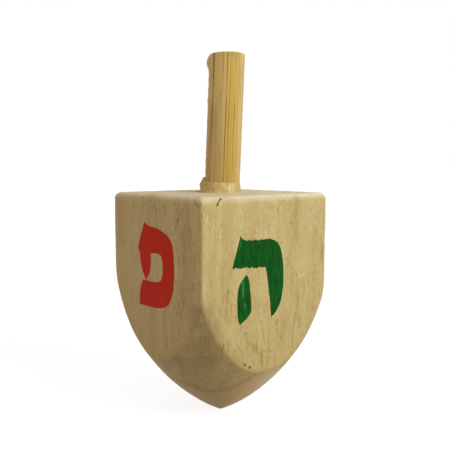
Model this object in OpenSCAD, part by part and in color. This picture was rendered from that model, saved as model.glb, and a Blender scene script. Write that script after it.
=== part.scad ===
// Four-sided wooden spinning top: a square hardwood block with a turned point, a round
// bamboo handle glued into its top, and one traditional mark printed on each side.
// The point stands on the origin, and the top spins about +Z.

/* [Block] */
// Width of the block, from the pe side to the gimel side
block_w = 25.4; // [22:0.1:40]
// Depth of the block, from the he side to the nun side
block_d = 23.7; // [22:0.1:40]
// Height of the block, from the tip of its point to its flat top
block_h = 36.1; // [33:0.1:60]
// Rounding of the four upright edges
side_edge_r = 0.7; // [0.2:0.1:2]
// Rounding of the edges round the top
top_edge_r = 1; // [0.2:0.1:2]
// How far the middle of the block lies from the spin axis, side to side
block_off_x = -0.12; // [-0.5:0.01:0.5]
// How far the middle of the block lies from the spin axis, front to back
block_off_y = 0.25; // [-0.5:0.01:0.5]

/* [Turned point] */
// Height above the tip at which the turned curve would stand upright
curve_h = 28.95; // [24:0.05:32]
// How far outside the block's corners the turned curve would be at that height
curve_over = 0.55; // [0.1:0.05:1.5]
// Width of the small flat worn on the tip
tip_flat_d = 0.4; // [0.2:0.1:2]

/* [Handle] */
// Diameter of the bamboo handle
handle_d = 5.58; // [4:0.01:9]
// Length of the handle that stands out of the block
handle_free_l = 21.6; // [12:0.05:40]
// Length of the handle that is set in the block
handle_set_l = 12; // [6:0.5:16]
// How much thinner the set end is at its foot than the free handle
handle_taper = 0.5; // [0.2:0.05:1]
// Broken edge at the top of the handle
handle_edge = 0.12; // [0.05:0.01:0.5]
// Lean of the handle away from the spin axis, in degrees
handle_lean = 2.2; // [0:0.1:4]
// Way the handle leans, in degrees from the gimel side towards the nun side
lean_dir = -39.4; // [-180:0.1:180]
// How far the mouth of the bore lies from the spin axis, side to side
bore_off_x = 0.17; // [-0.5:0.01:0.5]
// How far the mouth of the bore lies from the spin axis, front to back
bore_off_y = -0.14; // [-0.5:0.01:0.5]

/* [Glue] */
// Gap between the handle and the bore at its mouth, which the glue fills
glue_gap = 0.1; // [0.05:0.01:0.3]
// Room left for glue under the foot of the handle
glue_pool_h = 0.6; // [0.2:0.1:2]
// Angle of the cone that the drill leaves at the bottom of the bore
drill_angle = 118; // [90:1:140]
// Height of the bead of glue squeezed out round the handle
bead_h = 1.5; // [0.8:0.1:3]
// Width of that bead where it lies on the block
bead_foot_w = 0.6; // [0.4:0.05:1.5]
// Width of that bead near its top
bead_top_w = 0.4; // [0.2:0.05:1]

/* [Marks] */
// Height of a printed mark
mark_h = 12.7; // [9:0.1:14]
// Depth that the ink soaks into the wood
ink_depth = 0.2; // [0.05:0.05:0.6]
// Place of the nun from the middle of its side
nun_shift = 0.3; // [-2:0.1:2]
// Distance of the nun below the top of the block
nun_drop = 5.2; // [2:0.1:6]
// Place of the gimel from the middle of its side
gimel_shift = -0.4; // [-2:0.1:2]
// Distance of the gimel below the top of the block
gimel_drop = 5; // [2:0.1:6]
// Place of the he from the middle of its side
he_shift = -2.14; // [-3:0.01:3]
// Distance of the he below the top of the block
he_drop = 5.65; // [2:0.05:6]
// Place of the pe from the middle of its side
pe_shift = 0.58; // [-2:0.01:2]
// Distance of the pe below the top of the block
pe_drop = 4.4; // [2:0.1:6]

/* [Hidden] */
// Sides of every round shape
$fn = 96;
// How far every cutter runs past what it cuts
overrun = 1;
// Straight pieces in each curved stretch of a mark's outline
curve_steps = 8;
// Turn about the spin axis that brings the front side to each side
side_turns = [["he", 0], ["gimel", 90], ["nun", 180], ["pe", 270]];

handle_r = handle_d / 2;
handle_foot_r = handle_r - handle_taper / 2;
bore_r = handle_r + glue_gap;
bore_l = handle_set_l + glue_pool_h;
drill_tip_l = bore_r / tan(drill_angle / 2);
corner_r = norm([block_w, block_d]) / 2;

// The turned curve is one arc from the edge of the tip's flat to the height where it
// would stand upright. Its centre lies on the far side of the spin axis.
tip_r = tip_flat_d / 2;
curve_r = corner_r + curve_over;
arc_back = (curve_h * curve_h + tip_r * tip_r - curve_r * curve_r) / (2 * (curve_r - tip_r));
arc_r = curve_r + arc_back;

// Outlines of the marks, in shares of their height: across from the middle, up from the
// foot. A point with a third entry pulls a curve towards itself, and any other point
// is a corner.
nun_shares = [
    [-0.14, 1], [-0.25, 0.69], [-0.04, 0.665], [0.06, 0.655, 1], [0.075, 0.5, 1],
    [0.05, 0.33, 1], [-0.06, 0.325], [-0.2, 0.325], [-0.285, 0.235, 1], [-0.3, 0],
    [-0.08, 0.012], [0.13, 0.02, 1], [0.27, 0.2, 1], [0.3, 0.55, 1], [0.265, 0.95, 1],
    [-0.03, 0.95], [-0.1, 0.955, 1]
];
gimel_shares = [
    [-0.13, 1], [-0.23, 0.69], [-0.03, 0.665], [0.05, 0.65, 1], [0.06, 0.4],
    [-0.05, 0.34, 1], [-0.22, 0.3], [-0.27, 0.22, 1], [-0.29, 0], [-0.13, 0.02],
    [-0.09, 0.12, 1], [0.06, 0.15], [0.12, 0.15, 1], [0.14, 0], [0.27, 0.04],
    [0.28, 0.35, 1], [0.3, 0.6, 1], [0.25, 0.95, 1], [-0.02, 0.95], [-0.09, 0.955, 1]
];
he_roof_shares = [
    [-0.283, 0.995], [-0.403, 0.648], [0.103, 0.612], [0.155, 0.42, 1], [0.2, 0.005],
    [0.295, 0.06, 1], [0.38, 0.23, 1], [0.407, 0.5, 1], [0.335, 0.93, 1], [0.14, 0.932],
    [-0.2, 0.94], [-0.235, 0.94, 1]
];
he_foot_shares = [
    [-0.195, 0.55], [-0.165, 0.55, 1], [-0.13, 0.33, 1], [-0.115, 0.16], [-0.115, 0.07, 1],
    [-0.28, 0], [-0.325, 0.0, 1], [-0.325, 0.14], [-0.335, 0.4, 1], [-0.255, 0.5, 1]
];
pe_shares = [
    [-0.234, 1.014], [-0.384, 0.69], [-0.34, 0.64], [-0.335, 0.43, 1], [-0.208, 0.318],
    [-0.1, 0.43, 1], [-0.1, 0.54], [-0.1, 0.648], [0.01, 0.665, 1], [0.13, 0.648, 1],
    [0.158, 0.49, 1], [0.12, 0.32, 1], [-0.02, 0.31], [-0.268, 0.308], [-0.358, 0.24, 1],
    [-0.36, -0.01], [-0.1, 0.002], [0.17, 0.01, 1], [0.345, 0.17, 1], [0.39, 0.53, 1],
    [0.33, 0.93, 1], [-0.05, 0.962], [-0.16, 0.957, 1]
];

// Whether a point of an outline only pulls its curve
function pulls(p) = len(p) > 2;

// A point of an outline in its two coordinates
function place(p) = [p[0], p[1]];

// Where the curve that p pulls meets its neighbour q: q itself, or halfway between pulls
function meeting(p, q) = pulls(q) ? (place(p) + place(q)) / 2 : place(q);

// Point at share t along the curve from a to b that c pulls
function curve_point(a, c, b, t) = (1 - t) * (1 - t) * a + 2 * t * (1 - t) * c + t * t * b;

// All points of an outline, with its curves drawn out
function drawn(p) = [
    for (i = [0 : len(p) - 1])
        let (before = p[(i + len(p) - 1) % len(p)], after = p[(i + 1) % len(p)])
        each pulls(p[i])
            ? [for (k = [pulls(before) ? 0 : 1 : curve_steps - 1])
                curve_point(meeting(p[i], before), place(p[i]), meeting(p[i], after),
                            k / curve_steps)]
            : [place(p[i])]
];

function turn_of(side) = side_turns[search([side], side_turns)[0]][1];
function reach_of(side) = turn_of(side) % 180 == 0 ? block_d / 2 : block_w / 2;

// Rectangle of w by d about the origin with its corners rounded to r
module rounded_rect(w, d, r) {
    square([w - 2 * r, d], center = true);
    square([w, d - 2 * r], center = true);
    for (x = [r - w / 2, w / 2 - r], y = [r - d / 2, d / 2 - r]) translate([x, y]) circle(r);
}

// Side view of the block before turning: square at its foot, rounded to r at its top
module side_profile(w, h, r) {
    translate([-w / 2, 0]) square([w, h - r]);
    translate([r - w / 2, 0]) square([w - 2 * r, h]);
    for (x = [r - w / 2, w / 2 - r]) translate([x, h - r]) circle(r);
}

// That view carried through the block's full depth d
module side_prism(w, d, h, r) {
    rotate([90, 0, 0])
        translate([0, 0, -d / 2 - overrun])
            linear_extrude(d + 2 * overrun) side_profile(w, h, r);
}

// The sawn blank, with its upright and top edges rounded
module blank() {
    translate([block_off_x, block_off_y, 0])
        intersection() {
            linear_extrude(block_h) rounded_rect(block_w, block_d, side_edge_r);
            side_prism(block_w, block_d, block_h, top_edge_r);
            rotate([0, 0, 90]) side_prism(block_d, block_w, block_h, top_edge_r);
        }
}

// Everything inside the turned curve, up past the block's top
module turned_envelope() {
    rotate_extrude() {
        intersection() {
            translate([-arc_back, curve_h]) circle(arc_r, $fn = 4 * $fn);
            square([curve_r, curve_h]);
        }
        translate([0, curve_h]) square([curve_r, block_h - curve_h + overrun]);
    }
}

// Places its children on the handle's own axis, with zero at the mouth of the bore. The
// quarter turn keeps the seams of round shapes off the top and bottom of the slope.
module on_handle_axis() {
    translate([bore_off_x, bore_off_y, block_h])
        rotate([0, handle_lean, lean_dir])
            rotate([0, 0, 90])
                children();
}

// The drilled bore, running out past its mouth by extra
module bore(extra) {
    on_handle_axis()
        rotate_extrude()
            polygon([
                [0, -bore_l - drill_tip_l], [bore_r, -bore_l], [bore_r, extra], [0, extra]
            ]);
}

// The whole bamboo rod: a tapered end set in the block and a plain round handle
module rod() {
    on_handle_axis()
        rotate_extrude()
            polygon([
                [0, -handle_set_l], [handle_foot_r, -handle_set_l], [handle_r, bead_h],
                [handle_r, handle_free_l - handle_edge],
                [handle_r - handle_edge, handle_free_l], [0, handle_free_l]
            ]);
}

// Glue squeezed up round the handle, before the block's top cuts its foot
module bead() {
    on_handle_axis()
        rotate_extrude()
            polygon([
                [0, -bead_foot_w], [handle_r + bead_foot_w, -bead_foot_w],
                [handle_r + bead_foot_w, 0], [handle_r + bead_top_w, bead_h / 3],
                [handle_r + bead_top_w, bead_h * 2 / 3], [handle_r, bead_h], [0, bead_h]
            ]);
}

// All the space over the block, up past the bead
module above_top() {
    translate([-corner_r, -corner_r, block_h])
        cube([2 * corner_r, 2 * corner_r, bead_h + overrun]);
}

// All the space that the block's height takes
module below_top() {
    translate([-corner_r, -corner_r, 0]) cube([2 * corner_r, 2 * corner_r, block_h]);
}

// A mark's solid on its side: ink_depth deep, and standing out of the side by proud
module mark(side, shapes, shift, drop, proud) {
    translate([block_off_x, block_off_y, 0])
        rotate([0, 0, turn_of(side)])
            translate([shift, ink_depth - reach_of(side), block_h - drop - mark_h])
                rotate([90, 0, 0])
                    linear_extrude(ink_depth + proud)
                        for (s = shapes) polygon(drawn(s) * mark_h);
}

module nun(proud = 0) { mark("nun", [nun_shares], nun_shift, nun_drop, proud); }
module gimel(proud = 0) { mark("gimel", [gimel_shares], gimel_shift, gimel_drop, proud); }
module he(proud = 0) { mark("he", [he_roof_shares, he_foot_shares], he_shift, he_drop, proud); }
module pe(proud = 0) { mark("pe", [pe_shares], pe_shift, pe_drop, proud); }

module block() {
    color("burlywood")
        difference() {
            intersection() {
                blank();
                turned_envelope();
            }
            bore(overrun);
            nun(overrun);
            gimel(overrun);
            he(overrun);
            pe(overrun);
        }
}

module handle() {
    color("darkkhaki") rod();
}

module glue() {
    color("goldenrod")
        difference() {
            union() {
                intersection() {
                    bore(overrun);
                    below_top();
                }
                intersection() {
                    bead();
                    above_top();
                }
            }
            rod();
        }
}

module mark_nun() { color("royalblue") nun(); }
module mark_gimel() { color("darkorange") gimel(); }
module mark_he() { color("darkgreen") he(); }
module mark_pe() { color("firebrick") pe(); }

block();
handle();
glue();
mark_nun();
mark_gimel();
mark_he();
mark_pe();
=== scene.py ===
import math

import bpy
import numpy as np
from bpy.props import FloatProperty, FloatVectorProperty, PointerProperty
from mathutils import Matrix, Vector


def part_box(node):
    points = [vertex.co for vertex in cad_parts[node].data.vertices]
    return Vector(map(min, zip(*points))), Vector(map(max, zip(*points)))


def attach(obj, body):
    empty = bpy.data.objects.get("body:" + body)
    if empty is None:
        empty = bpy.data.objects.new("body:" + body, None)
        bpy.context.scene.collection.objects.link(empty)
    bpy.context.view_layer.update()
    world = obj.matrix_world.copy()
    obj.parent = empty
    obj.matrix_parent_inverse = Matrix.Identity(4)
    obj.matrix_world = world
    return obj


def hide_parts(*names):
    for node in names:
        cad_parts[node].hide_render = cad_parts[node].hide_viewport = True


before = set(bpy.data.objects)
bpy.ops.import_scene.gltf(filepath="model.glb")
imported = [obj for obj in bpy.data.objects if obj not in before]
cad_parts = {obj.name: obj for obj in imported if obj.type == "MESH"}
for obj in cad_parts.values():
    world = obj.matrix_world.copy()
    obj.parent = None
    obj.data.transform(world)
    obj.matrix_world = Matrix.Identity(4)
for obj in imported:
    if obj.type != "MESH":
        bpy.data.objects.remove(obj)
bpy.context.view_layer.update()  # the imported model, in metres: tip on the origin, spin axis along Z
BLOCK_LOW, BLOCK_HIGH = np.array(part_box("block"))

bl_info = {
    "name": "Four-Sided Spinning Top",
    "version": (1, 0, 0),
    "blender": (4, 5, 0),
    "location": "3D View > Sidebar > Spinning Top",
    "description": "Dresses a spinning top as sanded hardwood, split bamboo, dried glue and soaked-in ink",
    "category": "Mesh",
}

MM = 0.001  # a millimetre, in metres
YAW = math.radians(39.37)  # the way that the photo's camera looks, from Y towards X
CORE = 0.35  # the share of a line's width, from its middle outwards, that has the line's full strength


def linear(code):
    """A colour of six hex digits, as the linear red, green and blue that shaders work in."""
    shares = np.array([int(code[k:k + 2], 16) for k in (0, 2, 4)]) / 255
    return tuple(np.where(shares > 0.04045, ((shares + 0.055) / 1.055) ** 2.4, shares / 12.92).tolist())


# What a user would change


def length(name, description, millimetres, low=0.0):
    """A property for a length."""
    return FloatProperty(
        name=name, description=description, default=millimetres * MM, min=low, max=0.1, precision=5,
        unit="LENGTH",
    )


def angle(name, description, degrees):
    """A property for an angle."""
    return FloatProperty(
        name=name, description=description, default=math.radians(degrees), subtype="ANGLE"
    )


def colour(name, description, code):
    """A property for a colour, with its default as hex digits."""
    return FloatVectorProperty(
        name=name, description=description, default=linear(code), min=0, max=1, subtype="COLOR"
    )


class BlockSizes(bpy.types.PropertyGroup):
    side_edge: length("Side edge radius", "Rounding of the four upright edges", 0.7)
    top_edge: length("Top edge radius", "Rounding of the edges around the top", 1.0)
    curve_height: length("Curve height", "Height of the widest point of the turned end", 28.95)
    curve_over: length("Curve over corner", "How far the turned curve passes outside the corners", 0.55)
    tip_radius: length("Tip radius", "Radius of the worn flat on the tip", 0.2)
    crease: length("Crease softness", "Width over which a side blends into the turned end", 0.42)
    inset: length("Side inset", "How far the bare wood lies under the ink", 0.03)
    bore: length("Bore radius", "Radius of the hole that the handle is glued into", 2.89)
    bore_depth: length("Bore depth", "Depth of that hole", 12.6)


class HandleSizes(bpy.types.PropertyGroup):
    radius: length("Radius", "Radius of the bamboo rod", 2.79)
    free: length("Free length", "Length of the rod above the block", 21.5)
    set_in: length("Set length", "Length of the rod inside the block", 12.0)
    off_x: length("Offset X", "Where the rod's axis leaves the block's top", 0.17, -0.1)
    off_y: length("Offset Y", "Where the rod's axis leaves the block's top", -0.14, -0.1)
    lean: angle("Lean", "Angle of the rod to the spin axis", 2.2)
    lean_way: angle("Lean direction", "Which way the rod leans, from X towards Y", -39.4)
    bead: length("Bead height", "Height of the glue above the block's top", 1.5)
    bead_foot: length("Bead foot", "Width of the glue at its foot", 0.6)


class Finishes(bpy.types.PropertyGroup):
    wood: colour("Wood", "The block's main colour", "c8b57b")
    wood_tan: colour("Wood, tan", "Broad darker bands in the block", "b99a5f")
    wood_fleck: colour("Wood, fleck", "Short dark flecks and pores along the grain", "7d5a24")
    wood_light: colour("Wood, light", "Pale streaks and flecks along the grain", "dccc9a")
    wood_pale: colour("Wood, pale", "End grain and sanded edges", "dacca5")
    # this dark tone colours the lathe marks, and blotches on the turned end that carry painted shade
    wood_dark_and_shade: colour("Wood, smoked", "Scorched tone on the turned end", "96804f")
    bamboo: colour("Bamboo", "The rod's main colour", "cdb16c")
    bamboo_dark: colour("Bamboo, dark", "Dark fibres and the groove in the rod", "8a6a24")
    bamboo_pale: colour("Bamboo, pale", "Pale fibres in the rod", "e2c983")
    glue: colour("Glue", "The dried bead of glue", "bea564")
    green: colour("Green ink", "The ink of the front right mark", "0a5013")
    red: colour("Red ink", "The ink of the front left mark", "bc2a14")
    blue: colour("Blue ink", "The ink of the mark opposite the green one", "1d3f86")
    orange: colour("Orange ink", "The ink of the mark opposite the red one", "d0611a")


# Tones of single effects, which lie over those colours.
TONES = {
    # Among these, the tones for stains, for patches on the turned end and for growth lines also paint shade,
    # and the two for the lowest part of the turned end paint light.
    "calm": "c4ad76", "cream": "e9e2bf", "stain_and_shade": "a37f45", "low_wood": "ad915a",
    "shade_patch_tone": "7d6441", "growth_line_and_shade": "765632", "rosy": "b4988a", "dun": "8f7850",
    "painted_low_light": "d8b071", "painted_right_light": "decfae", "speck": "8c6e48", "scratch": "6b5018", "gouge": "6d5315",
    "warm_bamboo": "bb9660", "bamboo_foot": "8a6c2c", "open_fibre": "cdb680", "fibre_end": "8f7038",
    "thick_glue": "dcc68c", "dark_under_glue": "988040", "light_under_glue": "e6d49c",
}


# Numbers and plain meshes

SPREAD = np.array([73856093, 19349663, 83492791])  # keeps the numbers of neighbouring cells far apart


def noise(x, y, z=0.0, seed=0):
    """Smooth noise from -1 to 1: each corner of a unit cell gets a hashed value, and the eight are
    mixed by 3t^2 - 2t^3 along each axis."""
    at = np.stack(np.broadcast_arrays(x, y, z), -1).astype(float)
    cell = np.floor(at)
    share = step(at - cell, 0, 1)
    cell = cell.astype(np.int64)
    total = 0.0
    for corner in np.ndindex(2, 2, 2):
        code = np.bitwise_xor.reduce((cell + corner) * SPREAD, axis=-1) ^ (seed * 40503 + 977)
        for shift, factor in ((13, 1274126177), (15, 668265263)):
            code = ((code ^ (code >> shift)) * factor) & 0x7FFFFFFF
        weight = np.prod(np.where(np.array(corner, bool), share, 1 - share), -1)
        total = total + weight * ((code >> 8 & 0xFFFF) / 32767.5 - 1)
    return total


def noise_at(points, seed):
    """The same noise at an array of points."""
    return noise(*np.moveaxis(points, -1, 0), seed)


def ring(turn, scale):
    """An angle's place on a circle of radius scale, where noise has no seam."""
    return np.cos(turn) * scale, np.sin(turn) * scale


def bump(x, middle, width):
    """A smooth hump, 1 at the middle: exp(-((x - middle) / width)^2)."""
    return np.exp(-(((x - middle) / width) ** 2))


def facing(turn, degrees, width):
    """The same hump for an angle round an axis, with its middle and its width in degrees."""
    apart = (turn - np.radians(degrees) + np.pi) % (2 * np.pi) - np.pi
    return bump(apart, 0, math.radians(width))


def step(x, low, high):
    """A smooth rise from 0 at low to 1 at high: 3t^2 - 2t^3, for the share t of the way."""
    share = np.clip((x - low) / (high - low), 0, 1)
    return share * share * (3 - 2 * share)


def smaller(a, b, width):
    """The smaller of a and b, rounded off where they differ by less than width:
    b + (a - b) h - width h (1 - h), with h = 1/2 + (b - a) / (2 width)."""
    h = np.clip(0.5 + 0.5 * (b - a) / width, 0, 1)
    return b + (a - b) * h - width * h * (1 - h)


def after(low, high, count):
    """Evenly spaced values from low, which is left out, to high."""
    return np.linspace(low, high, count + 1)[1:]


def near_lines(points, rows, fray, scale):
    """How near points are to some lines, each a run of points and a width in millimetres and a
    strength. For each leg it is a smooth fall from 1 at CORE times the width to 0 at the width, of
    the distance to the leg plus fray times a noise of the given scale, times the strength; the
    largest is kept."""
    at = points / MM
    ragged = fray * (noise_at(at * scale, 91) + 0.5 * noise_at(at * scale * 2.3, 92))
    total = np.zeros(at.shape[:-1])
    for run, width, strength in rows:
        for start, end in zip(np.array(run), np.array(run)[1:]):
            along, away = end - start, at - start
            share = np.clip(away @ along / (along @ along), 0, 1)
            gap = np.linalg.norm(away - share[..., None] * along, axis=-1) + ragged
            total = np.maximum(total, strength * (1 - step(gap, CORE * width, width)))
    return total


def grid_mesh(name, points, poles=None, attributes=None):
    """A closed skin over a grid of points, rows by columns, whose columns close round on themselves.
    Two poles close the first and the last row by fans; without them the last row joins the first.
    The direction of the columns cross that of the rows points outwards. An attribute has a number
    for each point, and the poles take its last one."""
    rows, cols = points.shape[:2]
    index = np.arange(rows * cols).reshape(rows, cols)
    right = np.roll(index, -1, axis=1)
    quads = np.stack([index, right, np.roll(right, -1, axis=0), np.roll(index, -1, axis=0)], -1)
    verts, fans = points.reshape(-1, 3), np.zeros((0, 3), int)
    if poles is not None:
        quads = quads[:-1]
        verts = np.vstack([verts, *poles])
        low, high = (np.full(cols, rows * cols + k) for k in (0, 1))
        fans = np.concatenate(
            [np.stack([right[0], index[0], low], -1), np.stack([index[-1], right[-1], high], -1)]
        )
    mesh = bpy.data.meshes.new(name)
    sizes = np.concatenate([np.full(quads.size // 4, 4), np.full(len(fans), 3)])
    mesh.vertices.add(len(verts))
    mesh.vertices.foreach_set("co", np.ascontiguousarray(verts, np.float32).ravel())
    mesh.loops.add(int(sizes.sum()))
    corners = np.concatenate([quads.ravel(), fans.ravel()])
    mesh.loops.foreach_set("vertex_index", corners.astype(np.int32))
    mesh.polygons.add(len(sizes))
    mesh.polygons.foreach_set("loop_start", (np.cumsum(sizes) - sizes).astype(np.int32))
    mesh.polygons.foreach_set("use_smooth", np.full(len(sizes), True))
    mesh.update(calc_edges=True)
    for label, values in (attributes or {}).items():
        values = np.concatenate([values.ravel(), np.full(len(verts) - values.size, values.flat[-1])])
        made = mesh.attributes.new(label, "FLOAT", "POINT")
        made.data.foreach_set("value", values.astype(np.float32))
    mesh.validate()
    return mesh


def add_piece(name, mesh, material, node):
    """Puts a finished mesh into the scene, in the place of the CAD node that it stands for."""
    piece = bpy.data.objects.new(name, mesh)
    bpy.context.scene.collection.objects.link(piece)
    mesh.materials.append(material)
    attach(piece, "root")
    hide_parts(node)


# Shader building


class Nodes:
    """Adds nodes to the tree of a group, a material or a world. An input that is given as a socket
    is linked, and any other value is set. Each mask is built just before the mix that it is for,
    because the renderer has room for only so many values at a time."""

    def __init__(self, tree, owner=None):
        self.tree, self.owner = tree, owner

    def add(self, kind, inputs=None, **settings):
        made = self.tree.nodes.new(kind)
        for key, value in settings.items():
            setattr(made, key, value)
        for key, value in (inputs or {}).items():
            socket = made.inputs[key]
            if isinstance(value, bpy.types.NodeSocket):
                self.tree.links.new(value, socket)
            else:
                opaque = socket.type == "RGBA" and len(value) == 3
                socket.default_value = (*value, 1.0) if opaque else value
        return made

    def math(self, operation, *values):
        return self.add("ShaderNodeMath", dict(enumerate(values)), operation=operation).outputs[0]

    def times(self, a, b):
        return self.math("MULTIPLY", a, b)

    def times_plus(self, a, b, rest):
        """a times b, plus the rest."""
        return self.math("MULTIPLY_ADD", a, b, rest)

    def larger(self, a, b):
        return self.math("MAXIMUM", a, b)

    def vector(self, operation, *values, out=0):
        made = self.add("ShaderNodeVectorMath", dict(enumerate(values)), operation=operation)
        return made.outputs[out]

    def scaled(self, vector, scale, shift=(0, 0, 0)):
        """A vector times scale plus shift."""
        return self.vector("MULTIPLY_ADD", vector, scale, shift)

    def parts(self, vector):
        """The X, Y and Z of a vector."""
        return self.add("ShaderNodeSeparateXYZ", {0: vector}).outputs

    def tint(self, paint, over, mask, share=None, blend="MIX"):
        """A paint with another laid over it, by a mask or by a mask times a share. Either is a socket, a
        colour or the name of a tone."""
        mask = mask if share is None else self.times(mask, share)
        paint, over = (linear(TONES[tone]) if isinstance(tone, str) else tone for tone in (paint, over))
        inputs = {0: mask, 6: paint, 7: over}
        return self.add("ShaderNodeMix", inputs, data_type="RGBA", blend_type=blend).outputs[2]

    def wash(self, paint, over, value, low, high, share, inside=None):
        """A paint with another laid over it where a value rises from low to high, up to a share, and only
        inside a mask where one is given."""
        mask = self.rise(value, low, high, 0.0, share)
        return self.tint(paint, over, mask if inside is None else self.times(inside, mask))

    def rise(self, value, low, high, start=0.0, end=1.0):
        """A smooth rise from start, where the value is low, to end, where it is high."""
        inputs = dict(enumerate((value, low, high, start, end)))
        made = self.add("ShaderNodeMapRange", inputs, interpolation_type="SMOOTHSTEP", clamp=False)
        return made.outputs[0]

    def noise(self, place, scale, shift=(0, 0, 0), detail=2, rough=0.5, out=0):
        """Noise at a place times scale plus shift."""
        place = self.scaled(place, scale, shift)
        inputs = {"Vector": place, "Scale": 1.0, "Detail": detail, "Roughness": rough}
        return self.add("ShaderNodeTexNoise", inputs).outputs[out]

    def attributes(self, *names):
        """The numbers that a piece's mesh carries under some names."""
        return [self.add("ShaderNodeAttribute", attribute_name=name).outputs["Fac"] for name in names]

    def place(self):
        """The point on the piece, in millimetres."""
        return self.scaled(self.add("ShaderNodeTexCoord").outputs["Object"], (1000, 1000, 1000))

    def group(self, name, make, inputs):
        """A node group, which is made when it is first asked for."""
        tree = bpy.data.node_groups.get(name) or make(name)
        return self.add("ShaderNodeGroup", inputs, node_tree=tree).outputs

    def surface(self, paint, rough, specular, height, depth):
        """Ends a material with its shader, on a skin that stands depth proud where height is 1."""
        inputs = {"Height": height, "Strength": 1.0, "Distance": depth}
        normal = self.add("ShaderNodeBump", inputs).outputs[0]
        inputs = {"Base Color": paint, "Roughness": rough, "Specular IOR Level": specular, "Normal": normal}
        shader = self.add("ShaderNodeBsdfPrincipled", inputs)
        self.add("ShaderNodeOutputMaterial", {"Surface": shader.outputs[0]})
        return self.owner


def fresh_nodes(owner):
    """A builder for the emptied tree of a new material or world."""
    owner.use_nodes = True
    owner.node_tree.nodes.clear()
    return Nodes(owner.node_tree, owner)


def new_group(name, inputs, outputs):
    """A shader node group with named sockets, as its builder, its inputs and its outputs."""
    tree = bpy.data.node_groups.new(name, "ShaderNodeTree")
    for way, sockets in (("INPUT", inputs), ("OUTPUT", outputs)):
        for label, kind in sockets.items():
            tree.interface.new_socket(label, in_out=way, socket_type="NodeSocket" + kind)
    build = Nodes(tree)
    return build, build.add("NodeGroupInput").outputs, build.add("NodeGroupOutput").inputs


def stroke_group(name):
    """A scratch, dash or dot: 1 on the line from Start to End, falling smoothly to 0 at Width from
    it. Ragged is how much farther away the line seems. All in millimetres. It keeps to plain
    numbers, because a run of vector nodes takes up more of the renderer's room for a material."""
    build, given, result = new_group(
        name,
        dict(X="Float", Y="Float", Z="Float", Start="Vector", End="Vector", Width="Float", Ragged="Float"),
        dict(Mask="Float"),
    )
    along = build.vector("SUBTRACT", given["End"], given["Start"])
    start, run = build.parts(given["Start"]), build.parts(along)
    away = [build.math("SUBTRACT", given[label], start[k]) for k, label in enumerate("XYZ")]
    share, gap = 0.0, 0.0
    for k in range(3):
        share = build.times_plus(away[k], run[k], share)
    share = build.math("DIVIDE", share, build.vector("DOT_PRODUCT", along, along, out=1))
    share = build.math("MINIMUM", build.larger(share, 0.0), 1.0)
    for k in range(3):
        beside = build.math("SUBTRACT", away[k], build.times(share, run[k]))
        gap = build.times_plus(beside, beside, gap)
    gap = build.math("ADD", build.math("SQRT", gap), given["Ragged"])
    mask = build.rise(gap, build.times(given["Width"], CORE), given["Width"], 1.0, 0.0)
    build.tree.links.new(mask, result["Mask"])
    return build.tree


def strokes(build, place, rows, fray):
    """The strongest of some lines, each a run of points and a width in millimetres and a strength,
    with their edges frayed by noise, fray millimetres deep."""
    ragged = build.times(build.math("SUBTRACT", build.noise(place, (6, 6, 1.6)), 0.5), fray)
    fixed = {**dict(zip("XYZ", build.parts(place))), "Ragged": ragged}
    total = 0.0
    for points, width, strength in rows:
        for start, end in zip(points, points[1:]):
            inputs = {**fixed, "Start": start, "End": end, "Width": width}
            mask = build.group("stroke", stroke_group, inputs)["Mask"]
            total = build.larger(build.times(mask, strength), total)
    return total


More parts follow.
